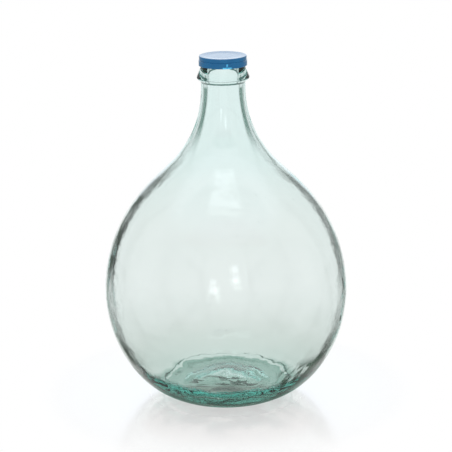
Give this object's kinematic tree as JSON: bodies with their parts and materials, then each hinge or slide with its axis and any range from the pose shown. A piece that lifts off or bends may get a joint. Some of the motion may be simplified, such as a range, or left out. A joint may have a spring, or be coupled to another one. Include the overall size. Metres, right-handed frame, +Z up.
{
  "type": "glass demijohn",
  "caption": "Round-bodied glass demijohn with a narrow collared neck, pushed-up base and a press-on plastic cap.",
  "frame": {"origin": "centre of the flat ring that the bottle stands on", "axes": "+Z up the bottle's axis towards the cap, -Y towards the cap's tear notch and the picture's viewpoint"},
  "size_m": [0.267, 0.267, 0.3796],
  "materials": {
    "glass": "clear, pale blue-green, fire polished, slightly wavy",
    "cap_plastic": "semi-gloss moulded plastic, mid blue"
  },
  "bodies": {
    "bottle": {"glass_bottle": "glass"},
    "cap": {"snap_cap": "cap_plastic"}
  },
  "joints": [
    {"name": "cap_lift", "type": "slide", "parent": "bottle", "child": "cap", "axis": [0, 0, 1], "range_m": [0, 0.09]}
  ]
}
